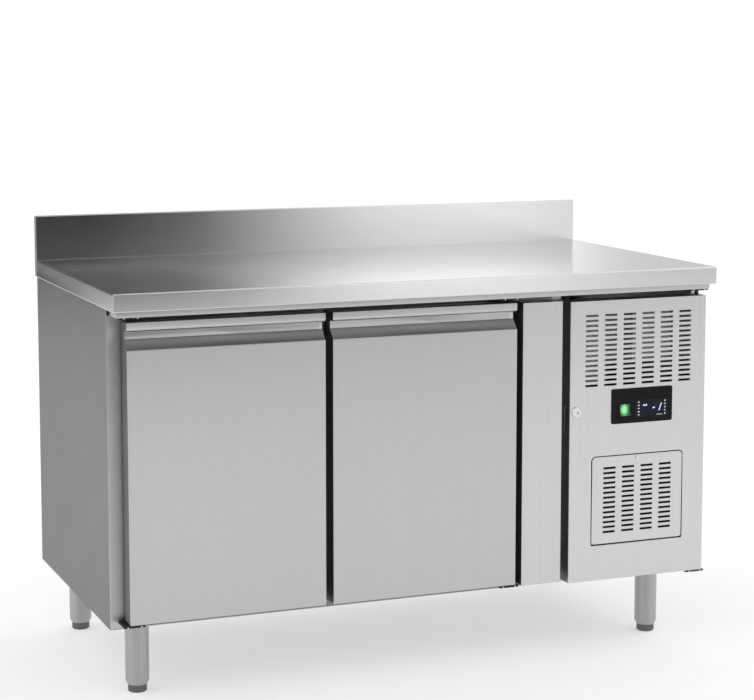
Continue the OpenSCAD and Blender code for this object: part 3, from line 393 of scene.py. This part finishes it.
bright_steel = brushed_steel("screw_steel", 0.7, 0.2, 2, 0.0)
plug_grey = material("plug_grey", {"Base Color": grey(0.1), "Roughness": 0.5})
low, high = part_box("worktop_skin")
for count, y in enumerate(PLUG_Y):
    outline = [(0, -0.0006), (PLUG_R, -0.0006), (PLUG_R, 0.0), (PLUG_R * 0.9, 0.0),
               (PLUG_R * 0.84, -0.0005), (0, -0.0005)]
    plug = turned(f"side_plug_{count + 1}", outline, Vector((low.x + 0.0001, y, high.z - PLUG_UP)),
                  Vector((-1, 0, 0)), 24)
    settled(plug, "cabinet", "black_plastic", plug_grey)

# The board under the worktop deadens it. It is a laminated panel, glued into the folded sheet.
def laminated_board(start):
    grain = noise(start, (12.0, 260.0, 260.0), 4.0, 0.6)
    return {"Base Color": blended(start, grain.eased(0.3, 0.7), (0.30, 0.2, 0.12, 1), (0.5, 0.36, 0.23, 1)),
            "Roughness": 0.75 + grain * 0.15}


def dress(material, *nodes):
    """Gives CAD nodes whose shape stays their finish."""
    for node in nodes:
        data = frame["nodes"][node].data
        data.materials.clear()
        data.materials.append(material)


dress(material("laminated_board", {}, laminated_board), "worktop_core")

# The cabinet is a shell of folded stainless sheets round rigid foam: two sides whose front edges
# turn in as stiles, a back with vents behind the machine, a base, and a tray under the worktop.
SHEET_BEND = 0.0014
SAME_POINT = 0.00001
ON_WALL = 0.00002
LONG_EDGE = 0.05
BENT_OVER = math.radians(35)
BACK_SCREWS = 4
BACK_SCREW_R = 0.0042
BACK_SCREW_IN = 0.012


def softened(name, node, slot, finish, bend=SHEET_BEND):
    """A sheet part with the shape of its CAD node and true bends along its outline."""
    mesh = bmesh.new()
    mesh.from_mesh(frame["nodes"][node].data)
    bmesh.ops.remove_doubles(mesh, verts=mesh.verts, dist=SAME_POINT)
    low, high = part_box(node)
    bends = []
    for edge in mesh.edges:
        if len(edge.link_faces) != 2 or edge.calc_face_angle_signed() < BENT_OVER:
            continue
        walls = [axis for axis in range(3) for wall in (low[axis], high[axis])
                 if all(abs(point.co[axis] - wall) < ON_WALL for point in edge.verts)]
        if 0 in walls or 2 in walls or (walls and edge.calc_length() > LONG_EDGE):
            bends.append(edge)
    bmesh.ops.bevel(mesh, geom=bends, offset=bend, segments=3, profile=0.5, affect="EDGES",
                    clamp_overlap=False)
    piece = object_from(name, mesh)
    body = frame["nodes"][node]["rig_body"]
    return settled(piece, body, slot, finish, node)


side_steel = brushed_steel("side_steel", 0.5, 0.34, 2, 0.75, 0.12)
stile_steel = brushed_steel("stile_steel", 0.55, 0.3, 2)
inner_steel = brushed_steel("inner_steel", 0.55, 0.32, 0, 0.5)
softened("left_side", "side_panel_left", "brushed_steel", side_steel)
softened("right_side", "side_panel_right", "brushed_steel", side_steel)
softened("back_sheet", "back_panel", "inner_steel", inner_steel, 0.0008)
softened("base_sheet", "base_panel", "inner_steel", inner_steel)
low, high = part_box("back_panel")
for count in range(BACK_SCREWS * 2):
    along = (count // 2 + 0.5) / BACK_SCREWS
    x = low.x + BACK_SCREW_IN if count % 2 == 0 else high.x - BACK_SCREW_IN
    place = Vector((x, high.y, low.z + along * (high.z - low.z)))
    pan_head_screw(f"back_screw_{count + 1}", place, Vector((0, 1, 0)), BACK_SCREW_R, "cabinet",
                   bright_steel)
softened("under_tray", "top_tray", "inner_steel", stile_steel)


def cast_foam(start):
    cells = noise(start, (900.0, 900.0, 900.0), 2.0, 0.6)
    swirl = noise(start, (14.0, 14.0, 14.0), 4.0, 0.6)
    relief = start.node("ShaderNodeBump", sockets={
        "Strength": 0.5, "Distance": 0.0004, "Height": cells}, output="Normal")
    return {"Base Color": blended(start, swirl.eased(0.3, 0.7), (0.72, 0.6, 0.3, 1), (0.86, 0.76, 0.46, 1)),
            "Normal": relief}


rigid_foam = material("rigid_foam", {"Roughness": 0.9}, cast_foam)
dress(rigid_foam, "insulation")
dress(brushed_steel("frame_steel", 0.22, 0.35, 2, 0.5), "frame_rails", "frame_posts")

# The cold space is lined with bright stainless sheets. Slotted uprights and L guides hold two
# wire shelves, and a cover at the right hides the evaporator, its fan and the drip tray.
liner_steel = brushed_steel("liner_steel", 0.66, 0.26, 2)
dress(liner_steel, "liner_sides", "liner_back", "liner_decks")
dress(brushed_steel("bracket_steel", 0.6, 0.28, 1), "shelf_uprights", "shelf_guides")


def powder(name, tone, rough, speck=0.1, gloss=0.5):
    """A baked coat with a fine orange-peel skin."""
    def surface(start):
        peel = noise(start, (700.0, 700.0, 700.0), 2.0, 0.5)
        wear = noise(start, (9.0, 9.0, 9.0), 4.0, 0.65)
        low = tuple(part * (1 - speck) for part in tone) + (1,)
        high = tuple(part * (1 + speck) for part in tone) + (1,)
        relief = start.node("ShaderNodeBump", sockets={
            "Strength": 0.25, "Distance": 0.0001, "Height": peel}, output="Normal")
        return {"Base Color": blended(start, wear.eased(0.3, 0.7), low, high),
                "Roughness": rough - 0.05 + wear * 0.1, "Normal": relief}

    return material(name, {"Specular IOR Level": gloss}, surface)


dress(powder("shelf_coat", (0.62, 0.63, 0.64), 0.35), "shelf_left", "shelf_right")
dress(powder("white_cover", (0.74, 0.75, 0.76), 0.4, 0.04), "evaporator_cover")


def pressed_fins(start):
    edge = noise(start, (30.0, 30.0, 30.0), 3.0, 0.6)
    return {"Base Color": blended(start, edge.eased(0.3, 0.7), grey(0.62), grey(0.78)),
            "Roughness": 0.3 + edge * 0.2}


fin_metal = material("fin_aluminium", {"Metallic": 1.0}, pressed_fins)
dress(fin_metal, "evaporator_coil", "condenser_coil")
black_moulding = powder("black_moulding", (0.022, 0.022, 0.024), 0.45, 0.25)
black_enamel = powder("black_enamel", (0.016, 0.016, 0.017), 0.3, 0.3)
dress(black_enamel, "fan_motors", "compressor", "fan_shroud")
dress(black_moulding, "drip_tray", "evaporating_pan", "cable_inlet", "evaporator_fan", "condenser_fan")

# Each door is a steel skin folded to a grip along its top, filled with foam and closed behind by
# an inner sheet. A magnetic seal clips round the inner sheet, and bushes take the hinge pins.
DOOR_BEND = 0.0012
SEAL_FOOT = 0.014
SEAL_BEAD = 0.0055
# The grip and return numbers place the painted shade, a darker colour on the slope below the finger recess
# and on the side returns.
GRIP_LOW = 0.0568
GRIP_HIGH = 0.0352
GRIP_FADE = 0.0006
LEANS_UP = (0.2, 0.5)
RETURN_PAINTED_SHADE = 0.8
RETURN_FADE = (0.0012, 0.0004)
RETURN_STARTS = (0.001, 0.004)


def grip_slope_shade(start):
    """The mask of painted shade: 1 on the slope below the finger recess, between two heights, and on faces
    that lean up.
    """
    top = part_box("door_left_skin")[1].z
    up = start.node("ShaderNodeTexCoord", output="Object").part(2)
    band = up.eased(top - GRIP_LOW, top - GRIP_LOW + GRIP_FADE)
    band = band - up.eased(top - GRIP_HIGH, top - GRIP_HIGH + GRIP_FADE)
    lean = start.node("ShaderNodeNewGeometry", output="True Normal").part(2)
    return band * lean.eased(*LEANS_UP)


def side_return_shade(node):
    """A mask of the painted shade on the returns at a part's two sides, which get a darker tone than its
    face.
    """
    low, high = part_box(node)
    half = (high.x - low.x) / 2

    def mask(start):
        place = start.node("ShaderNodeTexCoord", output="Object")
        aside = start.math("ABSOLUTE", place.part(0) - (low.x + half))
        behind = place.part(1).eased(low.y + RETURN_STARTS[0], low.y + RETURN_STARTS[1])
        side = aside.eased(half - RETURN_FADE[0], half - RETURN_FADE[1])
        return side * behind * RETURN_PAINTED_SHADE

    return mask


def door_painted_shade(door):
    """The mask of the painted shade on a door's slope and on its side returns together."""
    returns = side_return_shade(door + "_skin")
    return lambda start: start.math("MAXIMUM", grip_slope_shade(start), returns(start))


# Each door's steel gets painted shade on the slope below its grip and on its side returns.
for door in ("door_left", "door_right"):
    door_steel = brushed_steel(door + "_steel", 0.52, 0.3, 2, painted_shade=door_painted_shade(door))
    softened(door + "_face", door + "_skin", "brushed_steel", door_steel, DOOR_BEND)
    dress(liner_steel, door + "_liner")
    dress(rigid_foam, door + "_core")
    dress(black_moulding, door + "_bushes")


def seal_rubber(start):
    chalk = noise(start, (60.0, 60.0, 60.0), 4.0, 0.6)
    return {"Base Color": blended(start, chalk.eased(0.35, 0.7), grey(0.012), grey(0.03)),
            "Roughness": 0.5 + chalk * 0.2}


def framed(name, low, high, outline):
    """A closed strip mitred round a rectangle in X and Z. The outline is (distance in from the
    rectangle, Y) points round the strip's section."""
    mesh = bmesh.new()
    corners = [(low.x, low.z, 1, 1), (high.x, low.z, -1, 1), (high.x, high.z, -1, -1),
               (low.x, high.z, 1, -1)]
    rings = [[mesh.verts.new((x + sx * inward, y, z + sz * inward)) for inward, y in outline]
             for x, z, sx, sz in corners]
    for near, far in zip(rings, rings[1:] + rings[:1]):
        for step in range(len(outline)):
            follow = (step + 1) % len(outline)
            mesh.faces.new([near[step], near[follow], far[follow], far[step]])
    return object_from(name, mesh)


gasket_rubber = material("seal_rubber", {"Specular IOR Level": 0.15}, seal_rubber)
for door in ("door_left", "door_right"):
    low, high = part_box(door + "_gasket")
    deep = high.y - low.y
    bead = [(SEAL_FOOT * 0.5 + SEAL_BEAD * math.cos(math.radians(a)),
             high.y - deep * 0.45 + deep * 0.45 * math.sin(math.radians(a)))
            for a in range(-30, 211, 20)]
    section = [(SEAL_FOOT, low.y), (SEAL_FOOT, low.y + deep * 0.2), (SEAL_FOOT * 0.72, low.y + deep * 0.3)]
    section += bead
    section += [(SEAL_FOOT * 0.28, low.y + deep * 0.3), (0, low.y + deep * 0.2), (0, low.y)]
    settled(framed(door + "_seal", low, high, section), door, "gasket_rubber", gasket_rubber,
            door + "_gasket")

# The fixed strip between the right door and the machine compartment is a folded steel channel.
# It covers the evaporator's end and takes the tongue of the lock through a slot in its side.
# Its side returns get painted shade: their colour is taken darker.
filler_steel = brushed_steel("filler_steel", 0.6, 0.3, 2, painted_shade=side_return_shade("filler_panel"))
softened("filler_strip", "filler_panel", "brushed_steel", filler_steel)

# The hinge brackets are steel plates with a fixed pin, screwed under the tray and to the base.
# Small screws sit in their front edges.
LOCK_SCREW_R = 0.0019
LOCK_SCREW_APART = 0.028
PLATE_FRONT = 0.013
PANEL_HINGE_IN = 0.013
HALF_PLATE = 0.002
DOOR_PLATE_DOWN = 0.005
PANEL_PLATE_DOWN = 0.004
dress(powder("bracket_zinc", (0.03, 0.03, 0.032), 0.35, 0.1, 0.2), "hinge_brackets")
hinge_y = sum(corner.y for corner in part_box("door_left_bushes")) / 2
tray_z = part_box("top_tray")[0].z
plates = {}
for door in ("door_left", "door_right"):
    plates[door] = (sum(corner.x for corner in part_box(door + "_bushes")) / 2,
                    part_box(door + "_skin")[0].z - DOOR_PLATE_DOWN)
low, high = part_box("machine_panel")
plates["machine"] = (high.x - PANEL_HINGE_IN, low.z - PANEL_PLATE_DOWN)
for door, (hinge_x, low_z) in plates.items():
    for level, z in (("top", tray_z - HALF_PLATE), ("low", low_z)):
        for hand, side in (("left", -0.5), ("right", 0.5)):
            place = Vector((hinge_x + side * LOCK_SCREW_APART, hinge_y - PLATE_FRONT, z))
            pan_head_screw(f"{door}_{level}_screw_{hand}", place, Vector((0, -1, 0)), LOCK_SCREW_R,
                           "cabinet", bright_steel)

# The machine compartment opens behind a hinged panel with a grille of slots punched through it.
# A round key lock in its left edge turns a tongue behind the fixed strip.
# Its side returns get painted shade: their colour is taken darker.
panel_steel = brushed_steel("panel_steel", 0.63, 0.3, 2, painted_shade=side_return_shade("machine_panel"))
softened("grille_panel", "machine_panel", "brushed_steel", panel_steel)
dress(bright_steel, "panel_lock")

# The control plate is moulded in black with a raised rim round the switch. The thermostat's
# window is smoked and shows slanted lit figures between two columns of touch marks.
control_black = powder("control_black", (0.008, 0.008, 0.009), 0.32, 0.15, 0.12)
dress(control_black, "control_plate")


def smoked_window(start):
    haze = noise(start, (40.0, 40.0, 40.0), 3.0, 0.5)
    tint = blended(start, haze.eased(0.3, 0.7), (0.006, 0.006, 0.01, 1), (0.012, 0.012, 0.02, 1))
    return {"Base Color": tint, "Roughness": 0.12 + haze * 0.06}


window_uniform = {"Coat Weight": 0.1, "Coat Roughness": 0.05, "Specular IOR Level": 0.12}
dress(material("smoked_window", window_uniform, smoked_window), "thermostat")
FIGURE_RISE = 0.00012
FIGURES = [(0.0225, 0.0268, 0.0040, 0.0036), (0.0278, 0.0268, 0.0040, 0.0036),
           (0.0466, 0.0199, 0.0056, 0.0030), (0.0640, 0.0250, 0.0026, 0.0085),
           (0.0610, 0.0165, 0.0026, 0.0070)]
MARKS = [(0.0095, 0.0340, 0.0040, 0.0026), (0.0093, 0.0270, 0.0034, 0.0032),
         (0.0095, 0.0200, 0.0044, 0.0022), (0.0095, 0.0130, 0.0034, 0.0034),
         (0.0095, 0.0060, 0.0040, 0.0020), (0.0745, 0.0340, 0.0030, 0.0034),
         (0.0745, 0.0270, 0.0040, 0.0024), (0.0745, 0.0200, 0.0030, 0.0030),
         (0.0745, 0.0130, 0.0038, 0.0022), (0.0745, 0.0060, 0.0032, 0.0030),
         (0.0610, 0.0045, 0.0140, 0.0012)]


def figures(name, strokes, lean, finish):
    """Thin raised strokes on the window: (middle from its left, middle from its bottom, width,
    height) each, leaning to the right by lean."""
    low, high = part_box("thermostat")
    mesh = bmesh.new()
    for x, z, wide, tall in strokes:
        stroke = block_mesh(Vector((low.x + x - wide / 2, low.y - FIGURE_RISE, low.z + z - tall / 2)),
                            Vector((low.x + x + wide / 2, low.y + FIGURE_RISE, low.z + z + tall / 2)))
        bmesh.ops.bevel(stroke, geom=stroke.edges[:], offset=FIGURE_RISE * 0.6, segments=1,
                        affect="EDGES")
        for point in stroke.verts:
            point.co.x += (point.co.z - low.z - z) * lean
        part = bpy.data.meshes.new(name)
        stroke.to_mesh(part)
        stroke.free()
        mesh.from_mesh(part)
        bpy.data.meshes.remove(part)
    settled(object_from(name, mesh), "machine_door", "display_lens", finish)


def glowing(name, tone, strength):
    """A lit print that fades a little from stroke to stroke."""
    def surface(start):
        fade = noise(start, (90.0, 90.0, 90.0), 1.0, 0.5)
        dim = tuple(part * 0.7 for part in tone[:3]) + (1,)
        return {"Base Color": blended(start, fade, dim, tone),
                "Emission Color": blended(start, fade, dim, tone)}

    return material(name, {"Emission Strength": strength}, surface)


figures("lit_figures", FIGURES, 0.35, glowing("figure_blue", (0.35, 0.45, 1.0, 1), 1.4))
figures("touch_marks", MARKS, 0.0, glowing("mark_white", (0.75, 0.75, 0.75, 1), 0.15))


GLOW_LEFT = 0.002
GLOW_UP = 0.001
GLOW_STRETCH = (1.35, 0.0, 0.95)
GLOW_FADES = (0.001, 0.0165)


def lit_green(start):
    place = start.node("ShaderNodeTexCoord", output="Object")
    low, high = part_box("rocker_switch")
    middle = (low + high) / 2
    off = start.node("ShaderNodeVectorMath", {"operation": "SUBTRACT"}, {
        0: place, 1: (middle.x - GLOW_LEFT, middle.y, middle.z + GLOW_UP)})
    shape = start.node("ShaderNodeVectorMath", {"operation": "MULTIPLY"}, {0: off, 1: GLOW_STRETCH})
    away = start.node("ShaderNodeVectorMath", {"operation": "LENGTH"}, {0: shape}, "Value")
    glow = away.eased(*GLOW_FADES, 1.0, 0.0)
    return {"Base Color": blended(start, glow, (0.01, 0.08, 0.02, 1), (0.1, 0.6, 0.15, 1)),
            "Emission Color": blended(start, glow, (0.0, 0.03, 0.0, 1), (0.3, 0.85, 0.3, 1))}


dress(material("green_rocker", {"Roughness": 0.25, "Emission Strength": 0.8}, lit_green), "rocker_switch")

# The filter cover is a second, slotted sheet set flush in the panel on two stub pins, with a
# quarter-turn screw at its top and a dust mesh behind its slots.
softened("slotted_cover", "filter_cover", "brushed_steel", panel_steel, 0.0006)
dress(bright_steel, "filter_screw")
dress(powder("dust_mesh", (0.008, 0.008, 0.009), 0.8, 0.4, 0.1), "filter_mesh")

# The machine floor carries the compressor on rubber mounts, the condenser with its shroud and
# fan, the drier, the copper pipes, the pan that dries the defrost water, and the control box.
dress(inner_steel, "machine_floor", "partition_panel")
dress(powder("mount_rubber", (0.03, 0.03, 0.03), 0.75, 0.2), "compressor_mounts")


def drawn_copper(start):
    tarnish = noise(start, (22.0, 22.0, 22.0), 4.0, 0.6)
    tint = blended(start, tarnish.eased(0.35, 0.7), (0.85, 0.45, 0.28, 1), (0.5, 0.24, 0.14, 1))
    return {"Base Color": tint, "Roughness": 0.22 + tarnish * 0.25}


dress(material("drawn_copper", {"Metallic": 1.0}, drawn_copper), "filter_drier", "refrigerant_pipes")
dress(powder("galvanised_box", (0.7, 0.71, 0.72), 0.4), "control_box")

# The legs are brushed stainless tubes necked in at the bottom, each on a square plate under the
# base. A threaded foot with a bevelled edge screws out of each to level the counter.
leg_steel = brushed_steel("leg_steel", 0.42, 0.26, 0, 0.85)
foot_steel = brushed_steel("foot_steel", 0.14, 0.25, 2, 0.0)
dress(leg_steel, "leg_tubes")
dress(foot_steel, "foot_front_left", "foot_front_right", "foot_back_left", "foot_back_right")
